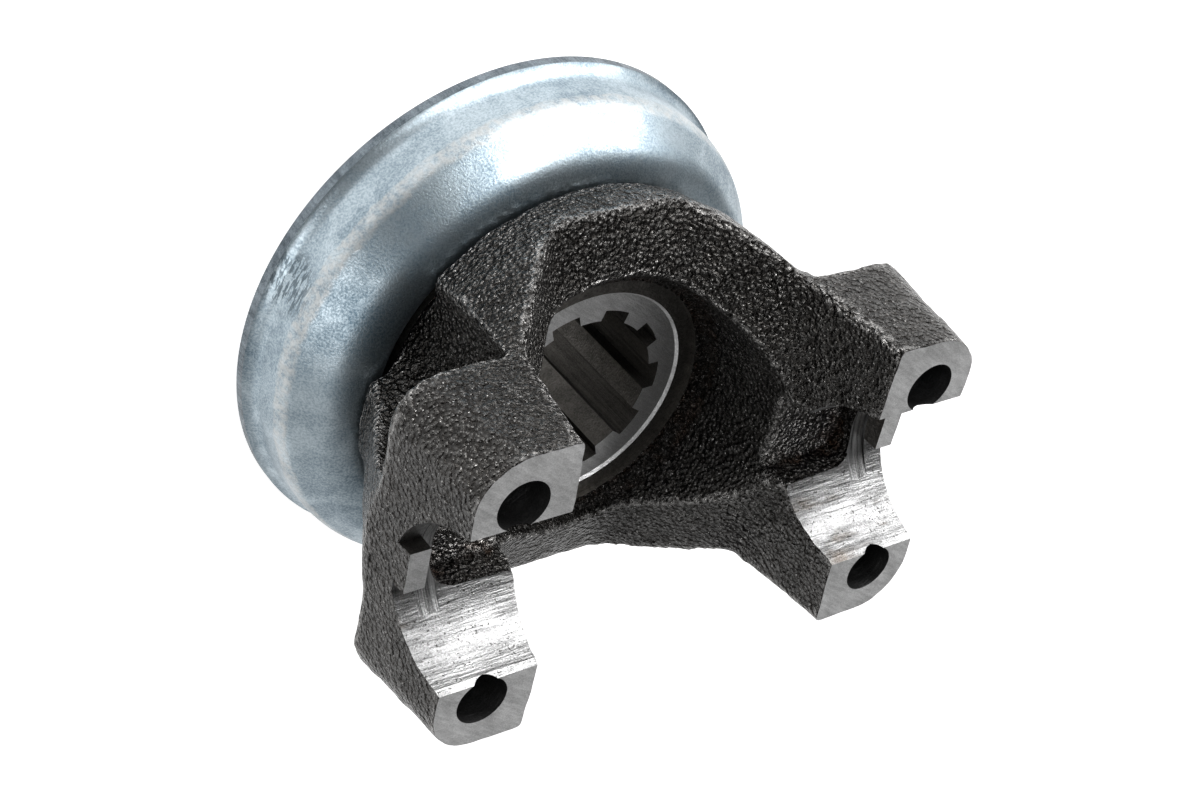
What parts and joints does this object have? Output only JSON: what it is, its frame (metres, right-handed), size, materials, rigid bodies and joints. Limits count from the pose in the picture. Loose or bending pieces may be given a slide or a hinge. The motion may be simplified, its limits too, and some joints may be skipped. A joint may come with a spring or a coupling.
{
  "type": "pinion yoke",
  "caption": "Half-round pinion yoke: two ears with machined cup seats and U-bolt holes, a splined hub, and a zinc-plated dust slinger pressed on behind.",
  "frame": {"origin": "centre of the hub's rear end face", "axes": "+Z along the pinion's axis from the hub's end to the pads of the ears, X along the axis of the two half-round seats"},
  "size_m": [0.0888, 0.0864, 0.08],
  "materials": {
    "cast_steel": "as cast, with bright machined faces",
    "zinc_plate": "satin zinc plate"
  },
  "bodies": {
    "root": {"yoke_casting": "cast_steel", "dust_slinger": "zinc_plate"}
  },
  "joints": []
}
